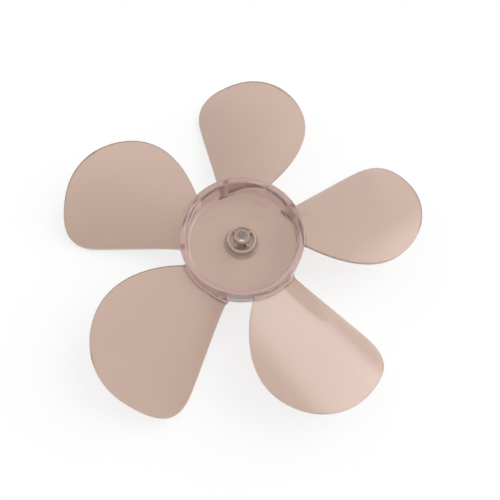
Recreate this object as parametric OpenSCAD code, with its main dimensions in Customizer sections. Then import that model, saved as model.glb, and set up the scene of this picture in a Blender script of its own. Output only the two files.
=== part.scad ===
// Five-blade axial fan, moulded in one piece from clear tinted plastic.
// Millimetres, +Z up. The origin is on the bore's axis, at the hub's closed face,
// and the hub cup opens towards +Z.

/* [Hub] */
// Outer diameter of the hub cup
hub_d = 39; // [32:0.5:44]
// Height of the hub cup, closed face to rim
hub_h = 9.4; // [8:0.2:13]
// Thickness of the hub's side wall
hub_wall = 2; // [1.2:0.1:3]
// Thickness of the hub's closed face
floor_t = 1.2; // [0.8:0.1:2]
// Rounding inside, where the wall meets the closed face
corner_r = 0.9; // [0.3:0.1:1.5]
// Rounding of the outer edge of the closed face
base_r = 0.6; // [0.2:0.1:0.9]
// Rounding of both edges of the rim
rim_r = 0.4; // [0.1:0.1:0.5]

/* [Shaft boss] */
// Bore for the motor shaft
bore_d = 3.17; // [2:0.01:3.6]
// Chamfer where the shaft enters the bore
bore_chamfer = 0.25; // [0.1:0.05:0.4]
// Outer diameter of the tube around the bore
tube_d = 5; // [4.6:0.1:6]
// Height of the tube above the hub's closed face
tube_h = 7.2; // [6:0.2:8]
// Outer diameter of the ring wall around the tube
ring_d = 9.2; // [8.6:0.2:11]
// Thickness of the ring wall
ring_wall = 0.7; // [0.5:0.1:0.9]
// Height of the ring wall above the hub's closed face
ring_h = 4.7; // [3.5:0.1:6]
// Rounding round the foot of the ring wall
foot_r = 1.1; // [0.4:0.1:1.3]
// Number of ribs between the tube and the ring wall
rib_count = 4; // [3:1:6]
// Thickness of a rib
rib_t = 0.8; // [0.5:0.1:1]
// Direction of the first rib
rib_angle = 45; // [0:5:85]

/* [Ejector marks] */
// Diameter of the circle that each ejector pin left
mark_d = 5.2; // [3:0.1:6]
// Depth of the mark's groove
mark_depth = 0.15; // [0.05:0.05:0.3]
// Width of the mark's groove
mark_line = 0.3; // [0.2:0.1:0.5]

/* [Blades] */
// Number of blades
blade_count = 5; // [3:1:5]
// Diameter over the blade tips
tip_d = 120; // [114:0.5:130]
// Thickness of a blade
blade_t = 1.3; // [0.8:0.1:2]
// Direction of the first blade
blade_angle = 28.5; // [0:0.5:72]

/* [Blade curve] */
// Radius of the round shell that a blade is cut from
shell_r = 52; // [46:0.5:70]
// Height of the shell's crest where it passes the fan's axis
crest_h = 9.8; // [8.5:0.1:11]
// Distance from the blade's own centre line to the crest, towards the high edge
crest_out = 25.5; // [22:0.5:28]
// Fall of the crest towards the tip, in degrees
crest_fall = 3; // [0:0.5:5]

/* [Blade outline] */
// Direction of the high edge at the hub, from the blade's centre line
high_root_angle = 32; // [28:1:36]
// Direction in which the high edge leaves the hub
high_root_lean = 59.5; // [50:0.5:70]
// Radius at which the high edge is widest
high_at = 38.9; // [34:0.1:44]
// Width of the blade on its high side
high_out = 26.5; // [20:0.1:28]
// Offset of the outermost point from the centre line, towards the high edge
tip_out = 4; // [0:0.1:8]
// Radius at which the low edge is widest
low_at = 50.5; // [46:0.1:53]
// Width of the blade on its low side
low_out = 9; // [7:0.1:14]
// Direction of the low edge at the hub, from the blade's centre line
low_root_angle = 15.5; // [12:0.5:22]
// Direction in which the low edge leaves the hub
low_root_lean = 8.5; // [2:0.5:14]

/* [Hidden] */

$fn = 96;
eps = 0.01;

hub_r = hub_d / 2;
hub_inner_r = hub_r - hub_wall;
ring_r = ring_d / 2;
ring_inner_r = ring_r - ring_wall;
tube_r = tube_d / 2;
bore_r = bore_d / 2;
tip_r = tip_d / 2;
// Where the ejector pins stood on the cup's inner face
mark_places = [[-10.1, 5.9], [4.4, 11.8], [-4.2, -8.8], [10.1, -2.5]];

// A blade grows out of the middle of the hub's wall
root_r = hub_r - hub_wall / 2;
// Handles of the outline's curves, as shares of the distance that each curve spans
high_root_pull = [0.31, 0.36];
high_tip_pull = [0.41, 0.69];
low_tip_pull = [0.68, 0.79];
low_root_pull = [0.14, 0.11];
// Points on each curve of the outline
curve_steps = 12;

// A direction in the plane of the outline
function dir(a) = [cos(a), sin(a)];
// A point on a cubic curve with end points a and d, and handles b and c
function cubic(a, b, c, d, t) =
    pow(1 - t, 3) * a + 3 * pow(1 - t, 2) * t * b + 3 * (1 - t) * t * t * c + pow(t, 3) * d;
// The curve's points, without its end point, which the next curve repeats
function curve(a, b, c, d) = [for (i = [0 : curve_steps - 1]) cubic(a, b, c, d, i / curve_steps)];

// A square corner with a round taken out, drawn where its two straight sides meet at the origin
module fillet_2d(r) {
    difference() {
        square(r);
        translate([r, r]) circle(r = r, $fn = 48);
    }
}

// Half section of the cup: a closed face, a side wall and the rounded corners
module hub_section() {
    difference() {
        union() {
            square([hub_r, floor_t]);
            translate([hub_inner_r, 0]) square([hub_wall, hub_h]);
            translate([hub_inner_r, floor_t]) mirror([1, 0]) fillet_2d(corner_r);
        }
        translate([hub_r, 0]) mirror([1, 0]) fillet_2d(base_r);
        translate([hub_r, hub_h]) mirror([1, 0]) mirror([0, 1]) fillet_2d(rim_r);
        translate([hub_inner_r, hub_h]) mirror([0, 1]) fillet_2d(rim_r);
    }
}

// Grooves that the ejector pins left on the cup's inner face
module ejector_marks() {
    for (place = mark_places)
        translate([place.x, place.y, floor_t - mark_depth])
            difference() {
                cylinder(d = mark_d, h = mark_depth + eps);
                translate([0, 0, -eps]) cylinder(d = mark_d - 2 * mark_line, h = mark_depth + 3 * eps);
            }
}

// A rib slopes from the ring wall's top up the side of the tube
module boss_rib() {
    rib_rise = (tube_h - ring_h) / 2;
    rotate([90, 0, 0])
        translate([0, 0, -rib_t / 2])
            linear_extrude(rib_t)
                polygon([
                    [bore_r + eps, floor_t / 2],
                    [ring_r - ring_wall / 2, floor_t / 2],
                    [ring_r - ring_wall / 2, ring_h - rim_r],
                    [tube_r, ring_h + rib_rise],
                    [bore_r + eps, ring_h + rib_rise]
                ]);
}

// Ring wall, tube and ribs that carry the bore
module boss() {
    rotate_extrude() {
        translate([ring_inner_r, floor_t / 2]) square([ring_wall, ring_h - floor_t / 2]);
        translate([ring_r, floor_t]) fillet_2d(foot_r);
    }
    cylinder(d = tube_d, h = tube_h);
    for (i = [0 : rib_count - 1])
        rotate(rib_angle + i * 360 / rib_count) boss_rib();
}

// Bore right through, with a chamfer where the shaft enters
module bore() {
    translate([0, 0, -eps]) cylinder(d = bore_d, h = tube_h + 2 * eps);
    translate([0, 0, tube_h - bore_chamfer])
        cylinder(r1 = bore_r, r2 = bore_r + bore_chamfer + eps, h = bore_chamfer + eps);
}

// Plan of one blade: along x from the axis to the tip, with the high edge at negative y
function blade_outline() =
    let (
        high_root = root_r * dir(-high_root_angle),
        high_wide = [high_at, -high_out],
        tip = [sqrt(tip_r * tip_r - tip_out * tip_out), -tip_out],
        low_wide = [low_at, low_out],
        low_root = root_r * dir(low_root_angle),
        high_span = norm(high_wide - high_root),
        low_span = norm(low_wide - low_root),
        tip_length_high = tip.x - high_at,
        tip_length_low = tip.x - low_at,
        tip_width_high = high_out - tip_out,
        tip_width_low = low_out + tip_out
    )
    concat(
        curve(high_root, high_root + high_root_pull[0] * high_span * dir(-high_root_lean),
              high_wide - [high_root_pull[1] * high_span, 0], high_wide),
        curve(high_wide, high_wide + [high_tip_pull[0] * tip_length_high, 0],
              tip - [0, high_tip_pull[1] * tip_width_high], tip),
        curve(tip, tip + [0, low_tip_pull[0] * tip_width_low],
              low_wide + [low_tip_pull[1] * tip_length_low, 0], low_wide),
        curve(low_wide, low_wide - [low_root_pull[0] * low_span, 0],
              low_root + low_root_pull[1] * low_span * dir(-low_root_lean), low_root),
        [low_root, [0, 0]]
    );

// Round shell that the blades are cut from, with its axis lying along the blade
module blade_shell() {
    shell_length = tip_d;
    translate([0, -crest_out, crest_h])
        rotate([0, 90 + crest_fall, 0])
            translate([shell_r, 0, -shell_length / 2])
                difference() {
                    cylinder(r = shell_r, h = 2 * shell_length, $fn = 360);
                    translate([0, 0, -eps]) cylinder(r = shell_r - blade_t, h = 2 * shell_length + 2 * eps, $fn = 360);
                }
}

// One blade. It ends inside the hub's wall, and outside it where it dips below the closed face
module blade() {
    difference() {
        intersection() {
            blade_shell();
            translate([0, 0, -shell_r]) linear_extrude(2 * shell_r) polygon(blade_outline());
        }
        cylinder(r = root_r, h = shell_r);
        translate([0, 0, -shell_r]) cylinder(r = hub_r, h = shell_r + eps);
    }
}

module fan_blade() {
    color([0.77, 0.65, 0.61, 0.75])
        difference() {
            union() {
                rotate_extrude() hub_section();
                boss();
                for (i = [0 : blade_count - 1])
                    rotate(blade_angle + i * 360 / blade_count) blade();
            }
            ejector_marks();
            bore();
        }
}

fan_blade();
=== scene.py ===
"""Looks of a one-piece axial fan of clear tinted plastic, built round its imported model."""

import math

import bmesh
import bpy
from bpy.props import FloatProperty, FloatVectorProperty, IntProperty, PointerProperty
from mathutils import Matrix, Vector


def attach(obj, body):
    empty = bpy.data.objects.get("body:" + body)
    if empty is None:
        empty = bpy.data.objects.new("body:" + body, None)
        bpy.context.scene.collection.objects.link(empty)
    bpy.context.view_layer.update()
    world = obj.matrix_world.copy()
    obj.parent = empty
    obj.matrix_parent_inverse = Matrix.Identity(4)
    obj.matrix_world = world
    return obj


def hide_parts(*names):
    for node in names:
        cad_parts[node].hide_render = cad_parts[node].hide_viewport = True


bl_info = {
    "name": "Clear Fan Blade",
    "version": (1, 0, 0),
    "blender": (4, 5, 0),
    "location": "3D View > Sidebar > Fan Blade",
    "description": "Models and finishes a small moulded fan of clear tinted plastic",
    "category": "Add Mesh",
}

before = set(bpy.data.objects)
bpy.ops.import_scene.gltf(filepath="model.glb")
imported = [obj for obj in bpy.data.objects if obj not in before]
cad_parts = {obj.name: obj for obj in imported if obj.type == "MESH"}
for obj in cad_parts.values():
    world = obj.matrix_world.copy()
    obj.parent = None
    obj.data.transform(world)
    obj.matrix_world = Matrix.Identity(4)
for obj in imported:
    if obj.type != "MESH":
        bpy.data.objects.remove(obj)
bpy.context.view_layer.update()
MM = 0.001
# Width and height of the picture, in pixels
PICTURE_SIZE = 500
# Where the ejector pins stood, in millimetres from the bore's axis
MARK_PLACES = ((-10.1, 5.9), (4.4, 11.8), (-4.2, -8.8), (10.1, -2.5))


def length(name, description, value):
    """A length in millimetres, kept in metres."""
    return FloatProperty(name=name, description=description, default=value * MM, unit="LENGTH", precision=5)


def angle(name, description, value):
    """An angle in degrees, kept in radians."""
    return FloatProperty(name=name, description=description, default=math.radians(value), unit="ROTATION")


def colour(name, description, value):
    """A colour, as linear red, green and blue."""
    return FloatVectorProperty(name=name, description=description, default=value, size=3, subtype="COLOR", min=0, max=1)


def share(name, description, value, most=1.0):
    """A plain factor."""
    return FloatProperty(name=name, description=description, default=value, min=0, max=most, subtype="FACTOR")


def pixels(name, description, value):
    """A place in the picture."""
    return FloatProperty(name=name, description=description, default=value, subtype="PIXEL")


class HubSizes(bpy.types.PropertyGroup):
    """Sizes of the hub cup."""

    radius: length("Radius", "Outer radius of the cup", 19.5)
    height: length("Height", "Height of the cup, closed face to rim", 9.4)
    wall: length("Wall", "Thickness of the side wall", 2.0)
    floor: length("Floor", "Thickness of the closed face", 1.2)
    corner: length("Inner corner", "Rounding where the wall meets the closed face", 0.9)
    base: length("Base edge", "Rounding of the closed face's outer edge", 0.6)
    rim: length("Rim edge", "Rounding of both edges of the rim", 0.4)


class BossSizes(bpy.types.PropertyGroup):
    """Sizes of the boss that takes the motor shaft."""

    bore: length("Bore", "Radius of the bore", 1.585)
    chamfer: length("Chamfer", "Chamfer where the shaft enters", 0.25)
    tube: length("Tube", "Outer radius of the tube round the bore", 2.5)
    tube_top: length("Tube top", "Height of the tube", 7.2)
    ring: length("Ring wall", "Outer radius of the ring wall", 4.6)
    ring_wall: length("Ring wall thickness", "Thickness of the ring wall", 0.7)
    ring_top: length("Ring wall top", "Height of the ring wall", 4.7)
    foot: length("Foot", "Rounding round the foot of the ring wall", 1.1)
    edge: length("Edge", "Rounding of the boss's own edges", 0.18)
    rib: length("Rib", "Thickness of a rib", 0.8)
    ribs: IntProperty(name="Ribs", description="Number of ribs between tube and ring wall", default=4, min=0)


class MarkSizes(bpy.types.PropertyGroup):
    """Sizes of the circles that the ejector pins left."""

    radius: length("Radius", "Outer radius of a circle", 2.6)
    line: length("Line", "Width of the groove", 0.3)
    depth: length("Depth", "Depth of the groove", 0.15)


class BladeSizes(bpy.types.PropertyGroup):
    """Sizes of the blades."""

    count: IntProperty(name="Blades", description="Number of blades", default=5, min=1)
    first: angle("First blade", "Direction of the first blade", 28.5)
    thickness: length("Thickness", "Thickness of a blade", 1.3)
    edge: length("Edge", "Rounding of a blade's edges", 0.25)
    fillet: length("Root fillet", "Rounding where a blade meets the hub", 0.9)
    sink: length("Root depth", "How far a blade's root reaches into the hub's wall", 0.5)
    tip: length("Tip", "Radius over the blade tips", 60)
    shell: length("Shell", "Radius of the round shell that a blade is cut from", 52)
    crest: length("Crest", "Height of the shell's crest at the fan's axis", 9.8)
    crest_out: length("Crest offset", "Distance from the centre line to the crest", 25.5)
    crest_fall: angle("Crest fall", "Fall of the crest towards the tip", 3)
    high_root: angle("High root", "Direction of the high edge at the hub", -32)
    high_lean: angle("High lean", "Direction in which the high edge leaves the hub", -59.5)
    high_at: length("High width at", "Radius at which the high edge is widest", 38.9)
    high_out: length("High width", "Width of the blade on its high side", 26.5)
    tip_out: length("Tip offset", "Offset of the outermost point", 4)
    low_at: length("Low width at", "Radius at which the low edge is widest", 50.5)
    low_out: length("Low width", "Width of the blade on its low side", 9)
    low_root: angle("Low root", "Direction of the low edge at the hub", 15.5)
    low_lean: angle("Low lean", "Direction in which the low edge leaves the hub", -8.5)


class PlasticLook(bpy.types.PropertyGroup):
    """Colours and finish of the plastic."""

    tint: colour("Tint", "Colour of the thin blades", (0.66, 0.495, 0.41))
    deep: colour("Deep tint", "Colour of the hub's thick wall", (0.66, 0.46, 0.43))
    # Painted shade: a darker colour inside the boss's ring wall stands in for the shade in its pockets and bore
    boss: colour("Boss tint", "Colour of the boss inside its ring wall", (0.5, 0.33, 0.3))
    # Painted shade: a dark colour on the rounding round the boss's foot stands in for the shadow there
    foot: colour("Foot tint", "Colour of the rounding round the boss", (0.3, 0.23, 0.18))
    pale: colour("Pale tint", "Colour of the cloudy patches", (0.8, 0.66, 0.58))
    speck: colour("Speck", "Colour of the small specks in the plastic", (0.3, 0.2, 0.16))
    roughness: share("Blade roughness", "Blur of the blades' reflections", 0.17)
    hub_roughness: share("Hub roughness", "Blur of the polished hub's reflections", 0.08)
    clear: share("Clear", "How much of the light passes through", 0.8)


class StageLook(bpy.types.PropertyGroup):
    """Floor, light and camera."""

    floor: colour("Floor", "Colour of the floor", (0.92, 0.92, 0.92))
    white: share("White", "Share of the floor's white that no shadow reaches", 0.75)
    room: share("Room", "Strength of the light from all round", 0.7, 10)
    slope: share("Slope", "How much brighter the back of the room is than its middle", 0.3, 10)
    window: share("Window", "Strength of the light from the window", 2.8, 10)
    window_turn: angle("Window direction", "Direction of the window round the fan", 26)
    window_rise: angle("Window height", "Angle of the window's middle above the floor", 37)
    window_spread: angle("Window size", "Half the angle that the window fills", 29)
    window_blur: angle("Window blur", "Softness of the window's edge", 8)
    lens: FloatProperty(name="Lens", description="Focal length of the camera", default=37.9, unit="CAMERA")
    centre_x: pixels("Axis across", "Where the fan's axis stands in the picture, from its left edge", 241.5)
    centre_y: pixels("Axis down", "Where the fan's axis stands in the picture, from its top edge", 244.1)
    tilt: angle("Tilt", "Lean of the camera away from straight down", 19.835)
    roll: angle("Roll", "Turn of the camera about its own line of sight", -3.293)
    away: length("Distance", "Distance from the camera to the hub's closed face", 170.7)


def settings():
    """The add-on's own settings."""
    return bpy.context.scene.fan_blade


def finish_mesh(bm, name):
    """Turns a bmesh into an object whose faces point outwards."""
    bmesh.ops.remove_doubles(bm, verts=bm.verts, dist=1e-7)
    bmesh.ops.recalc_face_normals(bm, faces=bm.faces)
    mesh = bpy.data.meshes.new(name)
    bm.to_mesh(mesh)
    bm.free()
    piece = bpy.data.objects.new(name, mesh)
    bpy.context.scene.collection.objects.link(piece)
    return piece


def combine(piece, others, operation):
    """Joins or cuts a piece with others, which are used up."""
    group = bpy.data.collections.new("combine")
    for other in others:
        group.objects.link(other)
    step = piece.modifiers.new("Combine", "BOOLEAN")
    step.operation = operation
    step.solver = "EXACT"
    step.operand_type = "COLLECTION"
    step.collection = group
    bpy.context.view_layer.update()
    shaped = bpy.data.meshes.new_from_object(piece.evaluated_get(bpy.context.evaluated_depsgraph_get()))
    piece.modifiers.clear()
    piece.data = shaped
    for other in others:
        bpy.data.objects.remove(other)
    bpy.data.collections.remove(group)
    return piece


def hub_body(hub, boss):
    """Spins the half section of cup, ring wall and tube round the bore."""
    outline = [
        (boss.bore, 0, 0),
        (hub.radius, 0, hub.base),
        (hub.radius, hub.height, hub.rim),
        (hub.radius - hub.wall, hub.height, hub.rim),
        (hub.radius - hub.wall, hub.floor, hub.corner),
        (boss.ring, hub.floor, boss.foot),
        (boss.ring, boss.ring_top, boss.edge),
        (boss.ring - boss.ring_wall, boss.ring_top, boss.edge),
        (boss.ring - boss.ring_wall, hub.floor, boss.edge),
        (boss.tube, hub.floor, boss.edge),
        (boss.tube, boss.tube_top, boss.edge),
        (boss.bore + boss.chamfer, boss.tube_top, 0),
        (boss.bore, boss.tube_top - boss.chamfer, 0),
    ]
    bm = bmesh.new()
    corners = [bm.verts.new((r, 0, z)) for r, z, _ in outline]
    bm.faces.new(corners)
    for corner, (_, _, rounding) in zip(corners, outline):
        if rounding:
            bmesh.ops.bevel(bm, geom=[corner], offset=rounding, offset_type="OFFSET", segments=6,
                            profile=0.5, affect="VERTICES", material=-1)
    bmesh.ops.delete(bm, geom=bm.faces[:], context="FACES_ONLY")
    bmesh.ops.spin(bm, geom=bm.verts[:] + bm.edges[:], axis=(0, 0, 1), cent=(0, 0, 0), steps=160,
                   angle=math.tau, use_merge=True)
    return finish_mesh(bm, "hub")


def boss_rib(hub, boss, turn):
    """A rib that slopes from the ring wall up the side of the tube."""
    inner = boss.tube - 0.3 * boss.ring_wall
    outer = boss.ring - 0.5 * boss.ring_wall
    low = 0.5 * hub.floor
    high = 0.5 * (boss.ring_top + boss.tube_top)
    bm = bmesh.new()
    bmesh.ops.create_cube(bm, size=1)
    for vert in bm.verts:
        side = vert.co.x > 0
        top = high if not side else boss.ring_top - boss.edge
        vert.co = (outer if side else inner, vert.co.y * boss.rib, top if vert.co.z > 0 else low)
    bmesh.ops.bevel(bm, geom=[e for e in bm.edges if all(v.co.z > low for v in e.verts)], offset=boss.edge,
                    offset_type="OFFSET", segments=3, profile=0.5, affect="EDGES", material=-1)
    bmesh.ops.rotate(bm, verts=bm.verts, matrix=Matrix.Rotation(turn, 3, "Z"))
    return finish_mesh(bm, "rib")


def ejector_mark(hub, mark, place):
    """A shallow round groove's worth of plastic, to be cut from the closed face."""
    bm = bmesh.new()
    low, high = hub.floor - mark.depth, hub.floor + mark.depth
    corners = [(mark.radius - mark.line, low), (mark.radius, low), (mark.radius, high), (mark.radius - mark.line, high)]
    face = bm.faces.new([bm.verts.new((r, 0, z)) for r, z in corners])
    bmesh.ops.delete(bm, geom=[face], context="FACES_ONLY")
    bmesh.ops.spin(bm, geom=bm.verts[:] + bm.edges[:], axis=(0, 0, 1), cent=(0, 0, 0), steps=64,
                   angle=math.tau, use_merge=True)
    bmesh.ops.translate(bm, verts=bm.verts, vec=(place[0] * MM, place[1] * MM, 0))
    return finish_mesh(bm, "ejector_mark")


def cubic(a, b, c, d, t):
    """A point on a cubic curve."""
    return (1 - t) ** 3 * a + 3 * (1 - t) ** 2 * t * b + 3 * (1 - t) * t * t * c + t**3 * d


def toward(turn):
    """A direction in the plane of the outline."""
    return Vector((math.cos(turn), math.sin(turn)))


class Outline:
    """A blade's plan, from the high edge's root round the tip to the low edge's root."""

    STEPS = 32
    # Handles of the curves, as shares of the distance that each curve spans
    HIGH_ROOT_PULL = (0.31, 0.36)
    HIGH_TIP_PULL = (0.41, 0.69)
    LOW_TIP_PULL = (0.68, 0.79)
    LOW_ROOT_PULL = (0.14, 0.11)

    def __init__(self, hub, blade):
        root = hub.radius - blade.sink
        high_root = root * toward(blade.high_root)
        high = Vector((blade.high_at, -blade.high_out))
        tip = Vector((math.sqrt(blade.tip**2 - blade.tip_out**2), -blade.tip_out))
        low = Vector((blade.low_at, blade.low_out))
        low_root = root * toward(blade.low_root)
        along = Vector((1, 0))
        across = Vector((0, 1))
        high_span = (high - high_root).length
        low_span = (low - low_root).length
        out_high, in_high = self.HIGH_ROOT_PULL
        out_tip, in_tip = self.HIGH_TIP_PULL
        out_low, in_low = self.LOW_TIP_PULL
        out_root, in_root = self.LOW_ROOT_PULL
        curves = [
            (high_root, high_root + out_high * high_span * toward(blade.high_lean),
             high - in_high * high_span * along, high),
            (high, high + out_tip * (tip.x - high.x) * along,
             tip - in_tip * (tip.y - high.y) * across, tip),
            (tip, tip + out_low * (low.y - tip.y) * across,
             low + in_low * (tip.x - low.x) * along, low),
            (low, low - out_root * low_span * along,
             low_root + in_root * low_span * toward(blade.low_lean), low_root),
        ]
        self.root = root
        self.turns = (blade.high_root, blade.low_root)
        self.points = [cubic(*curve, i / self.STEPS) for curve in curves for i in range(self.STEPS)] + [low_root]
        self.run = [0.0]
        for a, b in zip(self.points, self.points[1:]):
            self.run.append(self.run[-1] + (b - a).length)

    def at(self, part):
        """The point at a share of the outline's length."""
        want = part * self.run[-1]
        i = 0
        while i < len(self.run) - 2 and self.run[i + 1] < want:
            i += 1
        rest = (want - self.run[i]) / (self.run[i + 1] - self.run[i])
        return self.points[i].lerp(self.points[i + 1], rest)

    def inside(self, s, t, high_corner=0.4, low_corner=0.66):
        """The point at s from root to tip and t from high edge to low edge."""
        high = self.at(high_corner * s)
        low = self.at(1 - (1 - low_corner) * s)
        tip = self.at(high_corner + (low_corner - high_corner) * t)
        root = self.root * toward(self.turns[0] + (self.turns[1] - self.turns[0]) * t)
        corners = ((1 - s) * ((1 - t) * self.at(0) + t * self.at(1))
                   + s * ((1 - t) * self.at(high_corner) + t * self.at(low_corner)))
        return (1 - t) * high + t * low + (1 - s) * root + s * tip - corners


def shell_height(blade, place, depth):
    """Height of the shell over a point of the plan, at a depth below its upper side."""
    radius = blade.shell - depth
    across = place.y + blade.crest_out
    drop = radius - math.sqrt(radius**2 - across**2)
    fall = blade.crest_fall
    return blade.crest - depth / math.cos(fall) - place.x * math.tan(fall) - drop / math.cos(fall)


def blade_body(hub, blade, turn):
    """One blade: a grid laid on the shell, thickened, rounded and flared into the hub."""
    outline = Outline(hub, blade)
    bm = bmesh.new()
    bmesh.ops.create_grid(bm, x_segments=56, y_segments=36, size=0.5)
    for vert in bm.verts:
        place = outline.inside(vert.co.x + 0.5, vert.co.y + 0.5)
        vert.co = (place.x, place.y, shell_height(blade, place, blade.thickness))
    grown = bmesh.ops.extrude_face_region(bm, geom=bm.faces[:])
    for vert in grown["geom"]:
        if isinstance(vert, bmesh.types.BMVert):
            place = vert.co.xy
            vert.co.z = shell_height(blade, place, 0)
    bmesh.ops.recalc_face_normals(bm, faces=bm.faces)
    sharp = [e for e in bm.edges if len(e.link_faces) == 2 and e.calc_face_angle() > math.radians(45)]
    rims = [e for e in sharp if abs(e.verts[0].co.z - e.verts[1].co.z) < 0.5 * blade.thickness]
    bmesh.ops.bevel(bm, geom=rims, offset=blade.edge, offset_type="OFFSET", segments=4, profile=0.5,
                    affect="EDGES", material=-1)
    bm.normal_update()
    moves = []
    for vert in bm.verts:
        out = min(max(vert.co.xy.length - hub.radius, 0), blade.fillet)
        flare = blade.fillet - math.sqrt(blade.fillet**2 - (blade.fillet - out) ** 2)
        moves.append(vert.normal * flare)
    for vert, move in zip(bm.verts, moves):
        vert.co += move
    bmesh.ops.rotate(bm, verts=bm.verts, matrix=Matrix.Rotation(turn, 3, "Z"))
    return finish_mesh(bm, "blade")


def around(count, first=0.0):
    """Evenly spaced directions."""
    return [first + i * math.tau / count for i in range(count)]


class FANBLADE_OT_moulding(bpy.types.Operator):
    """Model the fan as the one moulding it is, and give it its plastic"""

    bl_idname = "fan_blade.moulding"
    bl_label = "Fan moulding"

    def execute(self, context):
        """Joins the hub, ribs and blades."""
        hub, boss, blade, mark = settings().hub, settings().boss, settings().blade, settings().mark
        body = hub_body(hub, boss)
        ribs = [boss_rib(hub, boss, turn) for turn in around(boss.ribs, math.radians(45))]
        blades = [blade_body(hub, blade, turn) for turn in around(blade.count, blade.first)]
        piece = combine(body, ribs + blades, "UNION")
        combine(piece, [ejector_mark(hub, mark, place) for place in MARK_PLACES], "DIFFERENCE")
        piece.name = "fan_moulding"
        piece.data.shade_smooth()
        piece.data.set_sharp_from_angle(angle=math.radians(38))
        piece.data.materials.clear()
        piece.data.materials.append(clear_plastic(settings().plastic))
        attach(piece, "root")
        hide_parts("fan_blade")
        return {"FINISHED"}


class Number:
    """A shader's number: Python's operators on it add Math nodes."""

    def __init__(self, paint, socket):
        self.paint = paint
        self.socket = socket

    def math(self, operation, *values, clamp=False):
        """The result of a Math node."""
        sockets = dict(enumerate(values))
        return self.paint.number("ShaderNodeMath", {"operation": operation, "use_clamp": clamp}, sockets)

    def __add__(self, other):
        return self.math("ADD", self, other)

    def __sub__(self, other):
        return self.math("SUBTRACT", self, other)

    def __rsub__(self, other):
        return self.math("SUBTRACT", other, self)

    def __mul__(self, other):
        return self.math("MULTIPLY", self, other)

    def __truediv__(self, other):
        return self.math("DIVIDE", self, other)

    __radd__ = __add__
    __rmul__ = __mul__

    def root(self):
        """The square root."""
        return self.math("SQRT", self)

    def above(self, edge, blur):
        """0 below an edge and 1 above it, with a soft step."""
        settings = {"interpolation_type": "SMOOTHSTEP"}
        sockets = {"Value": self, "From Min": edge - blur, "From Max": edge + blur}
        return self.paint.number("ShaderNodeMapRange", settings, sockets, "Result")


class Paint:
    """A material or world, and the nodes that feed it."""

    def __init__(self, owner):
        owner.use_nodes = True
        self.tree = owner.node_tree

    def add(self, kind, settings=None, sockets=None):
        """Adds a node, sets it up, then feeds its sockets with values or links."""
        node = self.tree.nodes.new(kind)
        for name, value in (settings or {}).items():
            setattr(node, name, value)
        for name, value in (sockets or {}).items():
            self.feed(node.inputs[name], value)
        return node

    def feed(self, socket, value):
        """Links a socket, or sets its value."""
        if isinstance(value, Number):
            value = value.socket
        if isinstance(value, bpy.types.NodeSocket):
            self.tree.links.new(value, socket)
        elif socket.type == "RGBA" and len(value) == 3:
            socket.default_value = (*value, 1)
        else:
            socket.default_value = value

    def number(self, kind, settings=None, sockets=None, output=0):
        """Adds a node and gives one of its outputs as a number."""
        return Number(self, self.add(kind, settings, sockets).outputs[output])

    def mix(self, share, first, second):
        """Blends two colours."""
        settings = {"data_type": "RGBA"}
        mixed = self.add("ShaderNodeMix", settings, {0: share, 6: first, 7: second})
        return mixed.outputs[2]


def noise(paint, place, scale):
    """Soft noise at a scale, about 0.5."""
    return paint.number("ShaderNodeTexNoise", sockets={"Vector": place, "Scale": scale, "Detail": 3.0}, output="Fac")


def clear_plastic(look):
    """Clear tinted plastic: tan where it is thin and frosted, mauve in the polished hub's thick walls, with painted
    shade inside the boss and round its foot.
    """
    material = bpy.data.materials.new("clear plastic")
    paint = Paint(material)
    place = paint.add("ShaderNodeTexCoord").outputs["Object"]
    parts = paint.add("ShaderNodeSeparateXYZ", sockets={0: place})
    x, y, z = (Number(paint, socket) for socket in parts.outputs)
    out = (x * x + y * y).root()
    hub = settings().hub
    boss = settings().boss
    soft = 0.2 * MM
    in_hub = 1 - out.above(hub.radius + soft, soft)
    wall = out.above(hub.radius - hub.wall, soft) * in_hub
    # Mask of the painted shade: the boss inside its ring wall, above the closed face
    painted_boss_shade = (1 - out.above(boss.ring - boss.ring_wall, soft)) * z.above(0.5 * hub.floor, soft)
    # Mask of the painted shade round the foot of the ring wall, below its top and above the closed face
    low = 1 - z.above(boss.ring_top - 4 * soft, 3 * soft)
    foot = out.above(boss.ring - soft, soft) * (1 - out.above(boss.ring + boss.foot, 2 * soft)) * low
    foot = foot * z.above(0.5 * hub.floor, soft)
    clouds = noise(paint, place, 90.0)
    grain = noise(paint, place, 700.0)
    colour_here = paint.mix(wall, look.tint, look.deep)
    # Painted shade: the boss's inside takes the darker boss colour
    colour_here = paint.mix(painted_boss_shade, colour_here, look.boss)
    # Painted shadow round the foot of the boss's ring wall
    colour_here = paint.mix(foot, colour_here, look.foot)
    colour_here = paint.mix(0.2 * clouds + 0.14 * grain - 0.1, colour_here, look.pale)
    specks = paint.add("ShaderNodeTexVoronoi", sockets={"Vector": place, "Scale": 75.0}).outputs
    rare = Number(paint, specks["Color"]).above(0.8, 0.02)
    small = 1 - Number(paint, specks["Distance"]).above(0.025, 0.008)
    colour_here = paint.mix(rare * small, colour_here, look.speck)
    rough = look.roughness + (look.hub_roughness - look.roughness) * in_hub + 0.06 * (clouds - 0.5)
    peel = noise(paint, place, 420.0)
    bump = paint.add("ShaderNodeBump", sockets={"Strength": 0.25, "Distance": 0.05 * MM, "Height": peel})
    shader = paint.tree.nodes["Principled BSDF"]
    for name, value in (
        ("Base Color", colour_here),
        ("Roughness", rough),
        ("Normal", bump.outputs[0]),
        ("Transmission Weight", look.clear),
        ("IOR", 1.49),
    ):
        paint.feed(shader.inputs[name], value)
    return material


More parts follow.
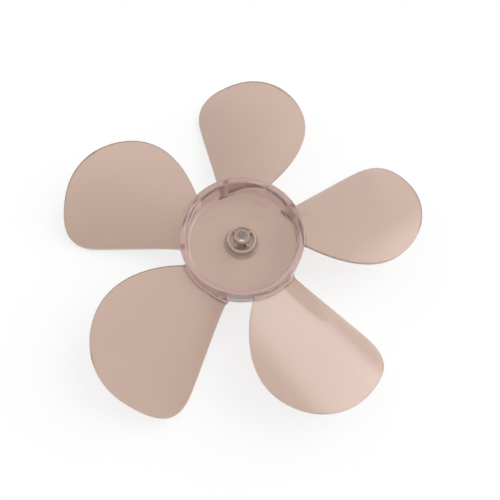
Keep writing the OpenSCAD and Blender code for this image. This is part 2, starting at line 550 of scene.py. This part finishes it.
class FANBLADE_OT_stage(bpy.types.Operator):
    """Set the floor, the soft light and the camera"""

    bl_idname = "fan_blade.stage"
    bl_label = "Stage"

    def execute(self, context):
        """Makes the floor, world and camera."""
        look = settings().stage
        scene = context.scene
        low = min(vert.co.z for vert in bpy.data.objects["fan_moulding"].data.vertices)
        bm = bmesh.new()
        bmesh.ops.create_grid(bm, x_segments=1, y_segments=1, size=2)
        bmesh.ops.translate(bm, verts=bm.verts, vec=(0, 0, low))
        floor = finish_mesh(bm, "floor")
        floor.data.materials.append(floor_paint(look))

        scene.world = studio_light(look)

        camera = bpy.data.cameras.new("camera")
        camera.lens = look.lens
        camera.sensor_width = 36
        camera.clip_start = 0.01
        camera.shift_x = 0.5 - look.centre_x / PICTURE_SIZE
        camera.shift_y = look.centre_y / PICTURE_SIZE - 0.5
        view = bpy.data.objects.new("camera", camera)
        scene.collection.objects.link(view)
        tilt, roll = look.tilt, look.roll
        back = Vector((0, -math.sin(tilt), math.cos(tilt)))
        right = Vector((1, 0, 0))
        up = back.cross(right)
        x = math.cos(roll) * right - math.sin(roll) * up
        y = math.sin(roll) * right + math.cos(roll) * up
        turn = Matrix((x, y, back)).transposed().to_4x4()
        view.matrix_world = Matrix.Translation(back * look.away) @ turn
        scene.camera = view
        scene.view_settings.view_transform = "Standard"
        return {"FINISHED"}


def studio_light(look):
    """An even pale room with one large soft window."""
    world = bpy.data.worlds.new("studio")
    sky = Paint(world)
    rise = math.cos(look.window_rise)
    window = (rise * math.cos(look.window_turn), rise * math.sin(look.window_turn), math.sin(look.window_rise))
    direction = sky.add("ShaderNodeTexCoord").outputs["Generated"]
    facing = sky.number("ShaderNodeVectorMath", {"operation": "DOT_PRODUCT"}, {0: direction, 1: window}, "Value")
    near = math.cos(look.window_spread - look.window_blur)
    far = math.cos(look.window_spread + look.window_blur)
    lit = facing.above(0.5 * (near + far), 0.5 * (near - far))
    background = sky.tree.nodes["Background"]
    sky.feed(background.inputs["Color"], (1, 1, 1, 1))
    across = Number(sky, sky.add("ShaderNodeSeparateXYZ", sockets={0: direction}).outputs["Y"])
    sky.feed(background.inputs["Strength"], look.room + look.slope * across + look.window * lit)
    return world


def floor_paint(look):
    """Pale floor that keeps the shadow, and shows white to the eye, in gloss and through clear plastic."""
    material = bpy.data.materials.new("floor")
    paint = Paint(material)
    rays = paint.add("ShaderNodeLightPath").outputs
    seen = Number(paint, rays["Is Camera Ray"])
    for kind in ("Is Glossy Ray", "Is Transmission Ray"):
        seen = seen.math("MAXIMUM", seen, rays[kind])
    matt = paint.add("ShaderNodeBsdfDiffuse", sockets={"Color": tuple(look.floor)})
    glow = paint.add("ShaderNodeEmission", sockets={"Color": (1.0, 1.0, 1.0)})
    both = paint.add("ShaderNodeMixShader", sockets={0: look.white * seen, 1: matt.outputs[0], 2: glow.outputs[0]})
    paint.feed(paint.tree.nodes["Material Output"].inputs["Surface"], both.outputs[0])
    return material


class FanBladeSettings(bpy.types.PropertyGroup):
    """All the sizes and colours."""

    hub: PointerProperty(type=HubSizes)
    boss: PointerProperty(type=BossSizes)
    mark: PointerProperty(type=MarkSizes)
    blade: PointerProperty(type=BladeSizes)
    plastic: PointerProperty(type=PlasticLook)
    stage: PointerProperty(type=StageLook)


class FANBLADE_PT_panel(bpy.types.Panel):
    """Lists the fan's operators and settings."""

    bl_label = "Fan Blade"
    bl_idname = "FANBLADE_PT_panel"
    bl_space_type = "VIEW_3D"
    bl_region_type = "UI"
    bl_category = "Fan Blade"

    def draw(self, context):
        """Draws a button for each operator, then the settings."""
        for step in STEPS:
            self.layout.operator(step.bl_idname)
        for part in ("hub", "boss", "mark", "blade", "plastic", "stage"):
            group = getattr(context.scene.fan_blade, part)
            box = self.layout.box()
            for name in group.__annotations__:
                box.prop(group, name)


STEPS = (FANBLADE_OT_moulding, FANBLADE_OT_stage)
GROUPS = (HubSizes, BossSizes, MarkSizes, BladeSizes, PlasticLook, StageLook, FanBladeSettings)


def register():
    """Registers the settings, operators and panel."""
    for item in (*GROUPS, *STEPS, FANBLADE_PT_panel):
        bpy.utils.register_class(item)
    bpy.types.Scene.fan_blade = PointerProperty(type=FanBladeSettings)


def unregister():
    """Takes them away again."""
    del bpy.types.Scene.fan_blade
    for item in reversed((*GROUPS, *STEPS, FANBLADE_PT_panel)):
        bpy.utils.unregister_class(item)


def main():
    """Makes everything in order."""
    register()
    bpy.ops.fan_blade.moulding()
    bpy.ops.fan_blade.stage()


if __name__ == "__main__":
    main()
